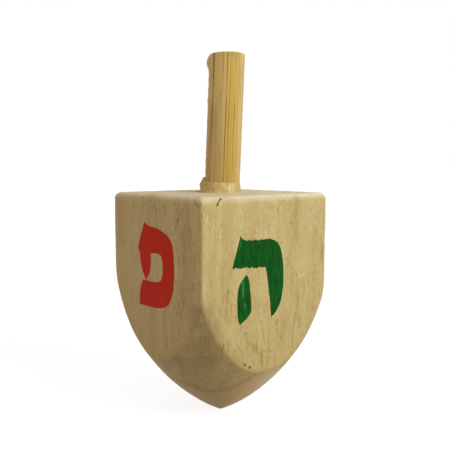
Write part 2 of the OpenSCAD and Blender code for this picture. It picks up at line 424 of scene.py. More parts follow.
def grain_group(name):
    """Close-grained hardwood, with its grain along Z. Broad tan bands, streaks, thin lines and short
    threads are noise drawn out along Z; flecks and pores are the middles of drawn-out cells, of
    which only some are kept."""
    build, given, result = new_group(
        name,
        dict(Place="Vector", Wood="Color", Tan="Color", Fleck="Color", Pale="Color", Contrast="Float"),
        dict(Color="Color", Height="Float", Flecks="Float"),
    )
    straight, wood, tan, fleck, pale, contrast = list(given)[:6]
    sway = build.noise(straight, (0.16, 0.16, 0.045), detail=1, out=1)
    sway = build.vector("SUBTRACT", sway, (0.5, 0.5, 0.5))
    place = build.scaled(sway, (1.6, 1.6, 0), straight)
    broad = build.noise(place, (0.23, 0.23, 0.012), (3.1, 7.7, 0))
    streak = build.noise(place, (1.0, 1.0, 0.075), (9.1, 2.3, 4), 3, 0.6)
    line = build.noise(place, (3.9, 3.9, 0.55), (1.7, 5.9, 2), 3, 0.6)
    paint = build.wash(wood, tan, broad, 0.45, 0.75, 0.55)
    paint = build.wash(paint, tan, streak, 0.52, 0.78, 0.55)
    paint = build.wash(paint, pale, streak, 0.48, 0.25, 0.4)
    paint = build.wash(paint, fleck, line, 0.52, 0.8, 0.35)
    grit = build.noise(straight, (4.8, 4.8, 1.8), (6.3, 0.7, 8), 2, 0.7)
    paint = build.wash(paint, fleck, grit, 0.5, 0.78, 0.20)
    paint = build.wash(paint, pale, grit, 0.5, 0.24, 0.34)

    # threads: where a drawn-out noise crosses its middle, in patches, and more of them lower down
    level = build.noise(place, (2.8, 2.8, 0.4), (8.8, 4.1, 5), 2, 0.55)
    off_middle = build.math("ABSOLUTE", build.math("SUBTRACT", level, 0.5))
    thread = build.rise(off_middle, 0.012, 0.062, 1.0, 0.0)
    patch = build.rise(build.noise(place, (0.55, 0.55, 0.22), (1.1, 8.2, 7), 1), 0.44, 0.62)
    lower_down = build.rise(build.parts(straight)[2], 28.0, 16.0, 0.5, 1.1)
    patch = build.times_plus(patch, lower_down, 0.12)
    paint = build.tint(paint, fleck, thread, build.times(patch, 0.36))

    def flecks(scale, shift, size, kept):
        inputs = {"Vector": build.scaled(place, scale, shift), "Scale": 1.0}
        cell = build.add("ShaderNodeTexVoronoi", inputs).outputs
        lucky = build.add("ShaderNodeSeparateColor", {0: cell["Color"]}).outputs
        near = build.rise(cell["Distance"], size * 0.45, size, 1.0, 0.0)
        chosen = build.rise(lucky[0], 1 - kept, 1 - kept * 0.6)
        return build.times(near, build.times(chosen, build.rise(lucky[1], 0, 1, 0.35, 1.0)))

    small = build.times(flecks((2.6, 2.6, 1.05), (5, 8, 1), 0.34, 0.45), 0.75)
    dark = build.larger(flecks((1.5, 1.5, 0.42), (0.4, 0.2, 0.7), 0.24, 0.28), small)
    light = flecks((2.3, 2.3, 0.8), (2.4, 6.2, 3.7), 0.34, 0.4)
    paint = build.tint(build.tint(paint, pale, light, 0.7), fleck, dark, contrast)
    height = build.times_plus(dark, -0.6, build.times_plus(line, -0.5, 1.0))
    for label, value in (("Color", paint), ("Height", height), ("Flecks", dark)):
        build.tree.links.new(value, result[label])
    return build.tree


def wood_grain(build, finishes, place, contrast):
    """The grain of the block at a place, for the bare wood and for the wood under each mark."""
    inputs = {
        "Place": place, "Wood": finishes.wood, "Tan": finishes.wood_tan, "Fleck": finishes.wood_fleck,
        "Pale": finishes.wood_light, "Contrast": contrast,
    }
    return build.group("wood_grain", grain_group, inputs)


# The block

PE_SIDE, HE_SIDE = (round(float(edge) / MM, 2) for edge in BLOCK_LOW[:2])


def on_he(*run):
    """Points on the flat side with the green mark, from their X and Z in millimetres."""
    return [(x, HE_SIDE, z) for x, z in run]


def on_pe(*run):
    """Points on the flat side with the red mark, from their Y and Z in millimetres."""
    return [(PE_SIDE, y, z) for y, z in run]


# Gouges in the block: points and width in millimetres, and how dark and deep each is.
GOUGES = [
    (on_he((-10.08, 34.88), (-9.82, 35.36)), 0.23, 1.0),
    ([(-9.82, -11.6, 35.36), (-9.52, -11.47, 35.62), (-9.20, -11.32, 35.80)], 0.20, 1.0),
    ([(-9.68, -11.54, 15.63), (-9.42, -11.45, 15.02), (-9.07, -11.34, 14.44)], 0.13, 0.5),
    ([(-9.05, -11.34, 14.46), (-8.89, -11.6, 15.40)], 0.12, 0.45),
    (on_he((-4.95, 11.60), (-4.92, 11.46)), 0.25, 1.0),
    (on_he((-4.03, 11.04), (-3.95, 10.88)), 0.25, 1.0),
    ([(-12.71, -9.86, 35.60), (-12.79, -10.16, 35.32), (-12.82, -9.95, 35.13)], 0.17, 0.5),
    ([(-12.76, -10.41, 35.44), *on_pe((-10.47, 35.03), (-10.89, 34.81), (-11.08, 34.65))], 0.15, 0.5),
    ([(-12.80, -11.28, 35.17), (-12.72, -11.56, 35.08)], 0.15, 0.4),
]

# Scratches and wandering lines of the grain that only darken the wood, in the same way.
BLEMISHES = [
    ([(-5.82, -10.97, 10.87), (-5.74, -10.95, 10.78)], 0.18, 0.4),
    ([(-12.72, 3.15, 35.6), (-12.79, 3.16, 35.3)], 0.19, 0.8),
    (on_pe((-7.20, 34.38), (-6.43, 33.55)), 0.10, 0.3),
    (on_pe((-6.24, 33.00), (-5.96, 32.31)), 0.17, 0.8),
    (on_pe((-5.96, 32.02), (-5.43, 31.22)), 0.14, 0.6),
    (on_pe((-4.88, 30.74), (-3.97, 30.03)), 0.12, 0.35),
    (on_he((11.43, 26.78), (11.46, 26.42)), 0.26, 0.35),
    (on_he((-6.42, 14.81), (-5.95, 13.9), (-5.42, 13.4), (-5.38, 12.8)), 0.16, 0.3),
    (on_he((-2.71, 14.24), (-2.49, 12.77)), 0.16, 0.4),
    (on_he((-1.59, 13.27), (-1.80, 12.5), (-1.47, 12.0), (-1.77, 11.4), (-1.56, 10.7)), 0.17, 0.4),
    (on_he((5.51, 17.75), (4.98, 14.99), (4.92, 12.04)), 0.18, 0.35),
    (on_he((-8.19, 23.17), (-8.50, 18.52)), 0.18, 0.3),
    (on_he((-1.89, 17.63), (-0.98, 13.91)), 0.16, 0.3),
    (on_he((9.87, 29.97), (10.03, 29.09)), 0.16, 0.45),
    (on_he((1.38, 33.80), (1.42, 33.66)), 0.20, 0.5),
]

# Short dashes along the grain on the side with the red mark: Y and Z of the top end, length, and
# how dark each is.
DASHES = [
    (5.6, 34.5, 0.7, 0.5), (6.07, 32.5, 0.7, 0.55), (3.86, 32.8, 0.6, 0.4), (-0.75, 34.0, 0.5, 0.45),
    (-1.45, 34.0, 0.5, 0.5), (-2.65, 34.85, 0.8, 0.6), (-5.28, 35.2, 0.4, 0.35), (-9.15, 31.8, 0.6, 0.5),
    (-7.84, 29.8, 0.6, 0.4), (-5.79, 28.8, 0.8, 0.4), (-6.36, 27.6, 0.7, 0.45), (-7.48, 27.8, 1.4, 0.35),
    (-10.5, 28.3, 0.6, 0.5), (-7.57, 25.0, 0.7, 0.35), (-9.6, 24.1, 0.8, 0.6), (-5.5, 24.0, 0.7, 0.3),
    (8.68, 28.6, 0.6, 0.55), (4.83, 17.06, 0.2, 0.6),
]
DASH_WIDTH = 0.13
BLEMISHES += [(on_pe((y, z), (y, z - long)), DASH_WIDTH, strength) for y, z, long, strength in DASHES]

# Pale curls of torn wood at the front corner of the top, in the same way as the gouges.
CURLS = [
    ([(-12.39, -8.31, 35.93), (-12.69, -8.94, 35.56), (-12.82, -9.30, 35.17)], 0.17, 0.9),
    ([(-12.36, -9.65, 35.97), (-12.66, -10.50, 35.61), (-12.80, -10.87, 35.22)], 0.19, 1.0),
    ([(-12.82, -10.40, 34.55), (-12.82, -10.88, 34.48), (-12.78, -11.44, 34.83)], 0.17, 0.8),
    ([(-12.80, -11.07, 35.28), (-12.66, -11.45, 35.53)], 0.17, 0.9),
]

# Broad soft stains along the grain, and one band of painted shade over the lit rounding of the front upright
# edge, in the same way.
STAINS_AND_SHADE = [
    (on_he((5.50, 35.2), (5.28, 32.4), (5.60, 29.8)), 0.85, 0.55),
    (on_he((5.44, 29.6), (5.2, 27.4)), 0.6, 0.35),
    (on_he((4.99, 24.0), (5.09, 20.4)), 0.8, 0.35),
    (on_he((-9.7, 24.0), (-9.3, 21.0), (-9.8, 18.0)), 2.2, 0.3),
    (on_he((11.55, 27.4), (11.42, 26.4), (11.2, 25.0)), 0.65, 0.8),
    (on_he((2.58, 18.4), (2.68, 13.9)), 0.9, 0.3),
    (on_he((-2.6, 13.8), (-1.7, 12.3), (-1.5, 10.6)), 0.7, 0.4),
    (on_pe((-3.1, 20.3), (-2.6, 17.1), (-2.8, 13.6)), 0.8, 0.8),
    (on_pe((10.3, 34.6), (10.0, 31.5), (10.4, 27.6)), 1.0, 0.45),
    (on_pe((-8.3, 30.8), (-8.8, 26.2), (-8.5, 20.4)), 1.9, 0.55),
    (on_he((-8.2, 35.0), (-8.0, 29.3), (-8.1, 25.0), (-8.5, 19.0)), 1.8, 0.42),
    # painted shade, darkening the lit rounding of the front upright edge
    (on_he((-11.0, 27.5), (-11.0, 20.5)), 1.3, 0.4),
    (on_pe((0.6, 35.6), (0.3, 31.0)), 3.2, 0.4),
]

# Patches of painted shade on the turned end, where it curves away between the sides, in the same way.
SHADE_PATCHES = [
    ([(-12.4, -11.0, 19.5), (-11.0, -10.64, 16.2), (-9.4, -10.7, 13.6)], 2.6, 0.8),
    ([(-11.7, -9.6, 15.6), (-10.2, -9.4, 13.2)], 2.8, 0.7),
    ([(-8.7, -11.5, 14.9), (-6.3, -11.5, 12.5)], 1.2, 0.55),
    ([(-12.7, -8.0, 16.4), (-12.0, -7.6, 13.9)], 1.2, 0.4),
]

# The edges of growth layers, which show as soft dark lines round the turned end, and a band of painted shade
# under one of them, in the same way.
GROWTH_LINES_AND_SHADE = [
    ([(-10.3, 0.6, 7.7), (-10.12, -0.77, 7.75), (-9.16, -3.43, 7.44), (-7.63, -4.47, 6.41),
      (-5.88, -6.76, 6.54), (-4.56, -8.41, 7.19), (-3.77, -9.61, 8.07), (-2.99, -10.42, 8.70),
      (-2.25, -11.3, 9.59)], 0.5, 0.9),
    ([(-2.25, -11.3, 9.59), (-1.11, -11.56, 9.71), (1.2, -11.5, 9.7)], 0.5, 0.5),
    ([(-12.7, -4.54, 12.57), (-11.9, -6.6, 12.6), (-10.81, -8.31, 12.84)], 0.5, 0.5),
    ([(-3.4, -7.97, 6.23), (-2.4, -9.0, 6.8), (-1.15, -9.87, 7.62)], 0.5, 0.35),
    # painted shade under the growth line above it
    ([(-8.3, -4.3, 6.7), (-6.9, -5.1, 6.0), (-5.8, -5.4, 5.5)], 1.3, 0.6),
]

PITH = (-31.0, 44.0)  # X and Y of the tree's own middle, which the layers on the block's top go round


def below_growth(at):
    """1 below the first two growth lines and 0 above them, at points in millimetres. Each point's
    height is held against the lines' height at its angle round the spin axis, and on the back,
    where no line is listed, the lines' ends are joined evenly."""
    run = np.array(GROWTH_LINES_AND_SHADE[0][0] + GROWTH_LINES_AND_SHADE[1][0][1:])[::-1]
    turn = np.arctan2(at[..., 1], at[..., 0])
    edge = np.interp(turn, np.arctan2(run[:, 1], run[:, 0]), run[:, 2], period=2 * np.pi)
    return step(edge - at[..., 2], -0.3, 1.7)


def block_material(finishes):
    """Sanded hardwood. The grain runs along Z; the turned end is smoother, faintly ringed and darkened in
    patches by painted shade, with painted light on its lowest part; the top shows end grain, and the sanded
    edges are pale."""
    build = fresh_nodes(bpy.data.materials.new("sanded_hardwood"))
    place = build.place()
    edge, turned, end_grain, stained_and_shaded, shade_patch, growth_and_shade, low_end_light = build.attributes(
        "edge", "turned", "end_grain", "stained_and_shaded", "shade_patch", "growth_and_shade", "low_end_light"
    )
    grain = wood_grain(build, finishes, place, 0.45)
    x, y, z = build.parts(place)
    from_pith = [build.math("SUBTRACT", value, middle) for value, middle in zip((x, y), PITH)]
    far = build.times(from_pith[0], from_pith[0])
    far = build.math("SQRT", build.times_plus(from_pith[1], from_pith[1], far))

    # calmer, paler wood on the far half of the red side, then dark blotches on the turned end, with painted
    # shade that grows towards its shaded left, and lathe marks
    calm = build.rise(x, -12.4, -12.7)
    paint = build.wash(grain["Color"], "calm", y, 1.0, 8.0, 0.55, calm)
    # dark blotches low on the turned end, with painted shade that grows stronger towards the shaded left
    # side
    dark_blotch_and_shade = build.noise(place, (0.22, 0.22, 0.17), (5, 1, 3), 3, 0.6)
    dark_blotch_and_shade = build.times(build.rise(dark_blotch_and_shade, 0.36, 0.62), build.rise(z, 17.0, 12.0))
    dark_blotch_and_shade = build.times(dark_blotch_and_shade, build.rise(turned, 0.3, 1.0, 0.0, 0.4))
    paint = build.tint(paint, finishes.wood_dark_and_shade, dark_blotch_and_shade, build.rise(x, 4.0, -5.0, 0.2, 1.0))
    lathe = build.noise(place, (0.04, 0.04, 2.4), rough=0.6)
    paint = build.wash(paint, finishes.wood_dark_and_shade, lathe, 0.52, 0.72, 0.14, turned)

    # pale edges and the top, with its growth layers and pores
    pale = build.larger(build.times(edge, 0.3), build.times(end_grain, 0.8))
    paint = build.tint(paint, finishes.wood_pale, pale)
    paint = build.tint(paint, "cream", end_grain, build.rise(x, -12.0, 12.0, 0.25, 0.75))
    inputs = {"W": far, "Scale": 0.9, "Detail": 3.0}
    layers = build.add("ShaderNodeTexNoise", inputs, noise_dimensions="1D").outputs[0]
    paint = build.wash(paint, finishes.wood_tan, layers, 0.45, 0.7, 0.18, end_grain)
    pores = build.noise(place, (5.5, 5.5, 1.0), detail=1)
    paint = build.wash(paint, finishes.wood_fleck, pores, 0.58, 0.72, 0.32, end_grain)

    # stains with a band of painted shade, a darker lower part, patches of painted shade and growth lines,
    # then the mottled skin of the turned end, with painted light on its lowest part
    # stains, with one band of painted shade on the front upright edge
    paint = build.tint(paint, "stain_and_shade", stained_and_shaded, 0.5)
    paint = build.wash(paint, "low_wood", z, 27.0, 9.0, 0.38)
    # painted shade: darker patches on the turned end, where it curves away between the sides
    paint = build.tint(paint, "shade_patch_tone", shade_patch, 0.42)
    mottle = build.noise(place, (0.8, 0.8, 0.8), (3, 9, 2), 3, 0.6)
    # growth lines, and the band of painted shade under one of them
    paint = build.tint(paint, "growth_line_and_shade", growth_and_shade, build.rise(mottle, 0.35, 0.65, 0.16, 0.36))
    paint = build.wash(paint, "rosy", mottle, 0.5, 0.7, 0.16, turned)
    paint = build.wash(paint, "dun", mottle, 0.5, 0.3, 0.16, turned)
    # painted light: the lowest part of the turned end, below the growth lines, paler and warmer, and paler
    # still towards the right
    paint = build.tint(paint, "painted_low_light", low_end_light, 0.5)
    paint = build.wash(paint, "painted_right_light", x, -3.5, 4.0, 0.62, low_end_light)
    speck = build.noise(place, (2.3, 2.3, 2.3), (7, 4, 9), 2, 0.6)
    paint = build.wash(paint, "speck", speck, 0.44, 0.62, 0.2, turned)

    # damage, in the places of the photo's own
    curl = strokes(build, place, CURLS, 0.16)
    paint = build.tint(paint, finishes.wood_pale, curl, 0.75)
    paint = build.tint(paint, "scratch", strokes(build, place, BLEMISHES, 0.14))
    dark = strokes(build, place, GOUGES, 0.14)
    paint = build.tint(paint, "gouge", dark)
    height = build.times_plus(curl, 1.5, build.times_plus(dark, -2.0, grain["Height"]))
    height = build.times_plus(build.times(lathe, turned), 0.6, height)
    fuzz = build.noise(place, (4.4, 4.4, 2.4), (0, 0, 0), 3, 0.7)
    height = build.times_plus(fuzz, 0.55, height)
    rough = build.rise(grain["Flecks"], 0, 1, 0.56, 0.75)
    return build.surface(paint, rough, 0.16, height, 0.045 * MM)


# Rows of the block's grid: on the turned curve, across the crease, up a side, round the top edge,
# across the top and down the bore.
CURVE_ROWS, CREASE_ROWS, SIDE_ROWS, RIM_ROWS, TOP_ROWS, BORE_ROWS = 111, 18, 44, 11, 29, 7
CORNER_POINTS, FLAT_POINTS = 11, 60  # columns of the grid on each rounded corner and each flat
SANDED_SHARES = np.array([1.0, 0.95, 0.6, 0.95])  # of the edge radius, anticlockwise from the back

# Lathe marks: their pitch in millimetres, how uneven they are round the block, their depth in
# millimetres, and the noise's seed.
LATHE_MARKS = [(0.9, 0.6, 0.022, 3), (3.2, 1.3, 0.05, 8)]

# Dents along the worn edges: their size in millimetres along X, Y and Z, how common they are, how
# sharp, their depth in millimetres, and the noise's seed.
DENTS = [((0.9, 0.9, 1.6), 0.0, 2, 0.11, 5), ((2.3, 2.3, 3.5), 0.2, 1, 0.05, 15)]
WHOLE_ROWS = 8  # rows of the top, next to the bore, that have no dents

# How far wear reaches, in millimetres: from an upright edge, from the crease, down from the top
# edge and inwards from it.
UPRIGHT_WEAR, CREASE_WEAR, DOWN_WEAR, INWARD_WEAR = 0.75, 0.6, 0.9, 1.3


def level_loops(half, middle, corner, inset):
    """Level lines of the block, one to each inset: a rectangle with rounded corners, run
    anticlockwise. A corner is its centre plus its radius at angles a quarter turn apart, and a flat
    is the straight line to the next corner, with its points closer together near the corners. The
    corner at the front is sanded less than the others."""
    inset = inset[:, None, None, None]
    radius = np.maximum(corner - 0.5 * inset, 0.35 * corner) * SANDED_SHARES[:, None, None]
    quarter = np.linspace(0, np.pi / 2, CORNER_POINTS) + np.arange(4)[:, None] * np.pi / 2
    signs = np.array([(1, 1), (-1, 1), (-1, -1), (1, -1)])[:, None]
    bend = np.stack([np.cos(quarter), np.sin(quarter)], -1)
    arcs = signs * (half - inset - radius) + radius * bend
    even, swing = (after(0, end, FLAT_POINTS + 1)[:-1] for end in (1, np.pi))
    share = (1 - np.cos(swing)) / 2 * 0.6 + even * 0.4
    start, end = arcs[:, :, -1:], np.roll(arcs, -1, axis=1)[:, :, :1]
    flats = start + (end - start) * share[:, None]
    return np.concatenate([arcs, flats], axis=2).reshape(len(inset), -1, 2) + middle


def block_mesh(sizes, handle):
    """The block as one closed skin. Each column of the grid starts at the tip, follows the turned
    curve out to its own point of the level line, goes straight up the side, rounds the top edge,
    crosses the top to the bore, and goes down the bore to its end. The turned curve is the arc
    R(z) = sqrt(arc^2 - (curve height - z)^2) - back, which goes through the tip and passes just
    outside the corners at the curve's height. On the lower part the radius is the smaller of the
    curve's and the level line's, rounded where they meet."""
    half, middle = (BLOCK_HIGH - BLOCK_LOW)[:2] / 2, (BLOCK_HIGH + BLOCK_LOW)[:2] / 2
    top, tall, tip = BLOCK_HIGH[2], sizes.curve_height, sizes.tip_radius
    bare = level_loops(half - sizes.inset, middle, sizes.side_edge, np.zeros(1))[0]
    reach = np.linalg.norm(bare, axis=1)
    way = bare / reach[:, None]
    widest = math.hypot(*half) + sizes.curve_over
    back = (tall**2 + tip**2 - widest**2) / (2 * (widest - tip))
    arc = back + widest
    meet = tall - np.sqrt(arc**2 - (reach + back) ** 2)
    slope = (tall - meet) / (reach + back)
    band = 1.3 * sizes.crease / np.maximum(slope, 0.2)

    lower = (meet - band) * np.linspace(0, 1, CURVE_ROWS)[:, None] ** 1.25
    crease = meet + band * after(-1, 1, CREASE_ROWS)[:, None]
    side = meet + band + (top - sizes.top_edge - meet - band) * after(0, 1, SIDE_ROWS)[:, None]
    height = np.concatenate([lower, crease, side])
    turn = np.arctan2(way[:, 1], way[:, 0])
    radius = np.sqrt(np.maximum(arc**2 - (tall - np.minimum(height, tall)) ** 2, 0)) - back
    lathe = sum(
        deep * noise(height / (pitch * MM), *ring(turn, uneven), seed)
        for pitch, uneven, deep, seed in LATHE_MARKS
    )
    radius = radius + lathe * MM * step(height, 1 * MM, 4 * MM)
    skin = smaller(radius, reach, sizes.crease)
    turned = step(reach - radius, -0.25 * sizes.crease, 0.6 * sizes.crease)
    points = np.concatenate([way * skin[..., None], height[..., None]], -1)

    bend = after(0, np.pi / 2, RIM_ROWS)
    loops = level_loops(half - sizes.inset, middle, sizes.side_edge, sizes.top_edge * (1 - np.cos(bend)))
    rim_z = (top - sizes.top_edge * (1 - np.sin(bend)))[:, None, None]
    rim = np.concatenate([loops, np.broadcast_to(rim_z, (*loops.shape[:2], 1))], -1)

    foot, axis = rod_line(handle)
    edge = rim[-1]
    toward = edge[:, :2] - foot[:2]
    toward /= np.linalg.norm(toward, axis=1)[:, None]
    mouth = np.concatenate([foot[:2] + toward * sizes.bore, np.full((len(edge), 1), top)], 1)
    across = (1 - np.cos(after(0, np.pi, TOP_ROWS)[:, None, None])) / 2
    flat_top = edge * (1 - across) + mouth * across
    sag = noise(flat_top[..., 0] / (2.5 * MM), flat_top[..., 1] / (2.5 * MM), 0, 21) * 0.02 - 0.02
    flat_top[..., 2] += sag * MM * np.sin(np.pi * across[..., 0])
    bore = mouth - axis * (after(0, 1, BORE_ROWS)[:, None, None] * sizes.bore_depth)
    end = foot - axis * (sizes.bore_depth + 0.5 * sizes.bore)

    rest = np.zeros((len(rim) + len(flat_top) + len(bore), len(edge)))
    on_side = np.concatenate([np.ones((len(points), 1)), rest[:, :1]])
    turned = np.concatenate([turned, rest])
    points = np.concatenate([points, rim, flat_top, bore])
    z = points[..., 2]
    # how near each point is to an upright edge, to the crease and to the top edge
    from_corner = np.abs(half - np.abs(bare - middle)).max(axis=1)
    from_edge = np.abs((half - np.abs(points[..., :2] - middle)).min(-1))
    upright = on_side * bump(from_corner, 0, UPRIGHT_WEAR * MM) * step(z, meet - 2 * MM, meet + 1 * MM)
    creased = on_side * bump(z, meet, CREASE_WEAR * MM) * 0.15
    over = np.where(on_side, bump(top - z, 0, DOWN_WEAR * MM), bump(from_edge, 0, INWARD_WEAR * MM))
    worn, pale = (np.maximum(np.maximum(share * upright, creased), over) for share in (1, 0.02))

    # small dents along the worn edges, cut in along the skin's own normal
    over_rows, over_cols = np.gradient(points, axis=0), np.roll(points, -1, 1) - np.roll(points, 1, 1)
    normal = np.cross(over_cols, over_rows)
    normal /= np.maximum(np.linalg.norm(normal, axis=-1), 1e-12)[..., None]
    at = points / MM
    dents = sum(
        np.maximum(noise_at(at / size, seed) + common, 0) ** sharp * deep
        for size, common, sharp, deep, seed in DENTS
    )
    dents[-WHOLE_ROWS - len(bore):] = 0
    points = points - normal * (dents * worn * MM)[..., None]
    return grid_mesh(
        "wooden_block", points, (np.zeros(3), end),
        {
            "edge": pale, "turned": turned,
            "end_grain": (1 - on_side) * step(top - z, 0.9 * MM, 0.1 * MM),
            # Of these, the stains and the growth lines each include a band of painted shade, the patches on
            # the turned end are painted shade, and the lowest part of the turned end carries painted light.
            "stained_and_shaded": near_lines(points, STAINS_AND_SHADE, 0.25, (1.6, 1.6, 0.5)),
            "shade_patch": near_lines(points, SHADE_PATCHES, 0.8, (0.6, 0.6, 0.45)),
            "growth_and_shade": near_lines(points, GROWTH_LINES_AND_SHADE, 0.12, (1.5, 1.5, 0.8)),
            "low_end_light": below_growth(points / MM),
        },
    )


# The handle and its glue

# Fibres that stand out on the rod: angle from the camera in degrees, width in degrees, and tone,
# below 0 where it is dark and sunk, above 0 where it is pale and proud.
FIBRES = [
    (-47.5, 3.0, -1.0), (-39.5, 2.6, 0.6), (-64, 8, -0.3), (-80, 6, 0.2), (-57, 1.6, -0.3),
    (-28, 3.5, -0.2), (-14.5, 3.5, -0.35), (-7.5, 3.0, 0.15), (1.2, 1.8, -0.9), (6.4, 1.9, 0.6),
    (11.2, 1.3, -0.6), (16.0, 2.0, 0.25), (20.3, 1.0, -0.5), (25.5, 2.2, 0.5), (31.2, 1.8, -0.85),
    (37.2, 2.0, 0.3), (43, 1.8, -0.35), (51, 4, 0.3), (60, 3.6, 0.6), (73, 5, -0.35), (85, 4, 0.3),
    (100, 3, -0.6), (109, 2, 0.3), (118, 5, 0.4), (131, 2.5, -0.7), (139, 2, -0.3), (150, 6, 0.25),
    (159, 1.6, -0.5), (168, 2.5, -0.5), (181, 4, 0.4), (190, 1.5, -0.4), (199, 2.4, -0.8),
    (207, 2, 0.3), (214, 3, 0.3), (222, 1.5, -0.4), (229, 2.6, -0.5), (238, 2, 0.3), (247, 5, 0.35),
    (260, 2.2, -0.6), (270, 4, 0.2),
]
# Yellower bands of the rod: angle from the camera in degrees, and width.
YELLOWS = [(22, 24), (120, 16), (175, 9), (228, 12)]

# How far the rod's skin stands out or in, in millimetres: its fibres, the torn ones on the left, the
# crushed lip of the cut end, the crush above it, the cut's crisp edge, and the set end's taper.
FIBRE_DEPTH, TORN_DEPTH, LIP_DEPTH, CRUSH_DEPTH, CRISP_DEPTH, TAPER = 0.045, 0.10, 0.46, 0.14, 0.12, 0.25
TILT = 0.15  # how much higher the cut end is on the right, in millimetres
ROD_COLUMNS, BEAD_COLUMNS = 360, 240  # points round the rod and round the bead of glue

TO_CAMERA = np.round([-math.sin(YAW), -math.cos(YAW), 0.0], 4)  # the level way to the photo's camera


def rod_line(handle):
    """Where the leaning rod's axis leaves the block's top, and its direction:
    (sin lean cos way, sin lean sin way, cos lean)."""
    lean, way = handle.lean, handle.lean_way
    axis = (math.sin(lean) * math.cos(way), math.sin(lean) * math.sin(way), math.cos(lean))
    return np.array([handle.off_x, handle.off_y, BLOCK_HIGH[2]]), np.array(axis)


def spokes(axis, turn):
    """Directions across the rod at some angles, which are counted from the photo's camera towards its
    right: cos angle times the way to the camera plus sin angle times the way to its right."""
    front = TO_CAMERA - axis * (TO_CAMERA @ axis)
    front /= np.linalg.norm(front)
    return front * np.cos(turn)[:, None] + np.cross(axis, front) * np.sin(turn)[:, None]


def fibre_tone(turn, along):
    """Tone of the rod's skin from -1, a dark groove, to 1, a pale ridge: the listed fibres, each a
    hump in angle that fades and wanders a little along the rod, plus finer noise that is drawn out
    along it."""
    tone = 0.0
    for number, (degrees, width, depth) in enumerate(FIBRES):
        wander = 1.1 * noise(along / 7.0, number * 3.7, 0, 31)
        fade = 0.75 + 0.35 * noise(along / 4.0, number * 5.3, 0, 32)
        tone = tone + depth * fade * facing(turn, degrees + wander, width)
    tone = tone + 0.30 * noise(*ring(turn, 9), along / 11.0, 33)
    return tone + 0.16 * noise(*ring(turn, 24), along / 6.0, 34)


def handle_mesh(handle):
    """The rod as one closed skin: angle round the axis by length along it. The radius is the rod's,
    less a sunk tone and plus a proud one, with a crushed lip on the left of the cut end and torn
    fibres down that side. Worked out in millimetres."""
    foot, axis = rod_line(handle)
    turn = np.linspace(0, 2 * np.pi, ROD_COLUMNS, endpoint=False)
    free, set_in, radius = handle.free / MM, handle.set_in / MM, handle.radius / MM
    last = 1.6 * np.sin(after(0, np.pi / 2, 25))
    rise = [np.linspace(-set_in, -0.6, 14), np.linspace(0, free - 1.6, 92), free - 1.6 + last]
    rise = np.concatenate(rise)[:, None]
    tone = fibre_tone(turn, rise)
    torn = np.maximum(noise(*ring(turn, 5), rise / 0.8, 41), 0) * TORN_DEPTH * facing(turn, -95, 34)
    lip = LIP_DEPTH * bump(rise, free - 1.25, 0.95) * facing(turn, -98, 30)
    crushed = step(rise, free - 0.5, free) ** 2 * CRUSH_DEPTH * facing(turn, -92, 40)
    crisp = np.sqrt(np.maximum(1 - step(rise, free - 0.12, free + 0.02) ** 2, 0)) * CRISP_DEPTH - CRISP_DEPTH
    taper = -TAPER * step(rise, -0.5, -set_in)
    relief = step(rise, -0.6, 0.4) * (FIBRE_DEPTH * np.clip(tone, -1.3, 0.8) + torn + lip - crushed)
    skin = (radius - 0.02 + relief + crisp + taper) * MM
    spoke = spokes(axis, turn)
    points = foot + axis * (rise * MM)[..., None] + spoke * skin[..., None]

    # the cut end: in rings to its middle, with the fibre ends standing up unevenly
    inner = np.linspace(1, 0, 15)[1:-1, None]
    ends = 0.035 * noise(*ring(turn, inner * 12), 0, 51) - 0.035
    cap = foot + axis * ((free + ends * step(1 - inner, 0, 0.15)) * MM)[..., None]
    points = np.concatenate([points, cap + spoke * (skin[-1] * inner)[..., None]])
    share = np.concatenate([np.ones_like(rise), inner])
    along = np.concatenate([rise, np.full_like(inner, free)])
    # the cut is a little out of square: higher on the right
    tilt = TILT * step(np.sin(turn) * share, -1, 1) * step(along, free - 2.0, free)
    points = points + axis * (tilt * MM)[..., None]

    rim = step(share, 0.80, 1.0)
    yellow = sum(facing(turn, degrees, width) for degrees, width in YELLOWS)
    fleck = 0.3 * noise(*ring(turn, inner * 9), 0, 52)
    return grid_mesh(
        "bamboo_handle", points, (foot - axis * handle.set_in, foot + axis * (free + 0.035) * MM),
        {
            "fibre": np.concatenate([tone, tone[-1] * rim[len(rise):] + fleck]),
            "yellow": np.clip(yellow, 0, 1) * rim,
            "cut_end": np.broadcast_to(share < 1, points.shape[:2]),
            # painted light on the shaded left side of the rod's free length
            "painted_left_light": step(along, 7.0, free - 0.5) * (0.25 + 0.75 * facing(turn, -60, 65)),
        },
    )


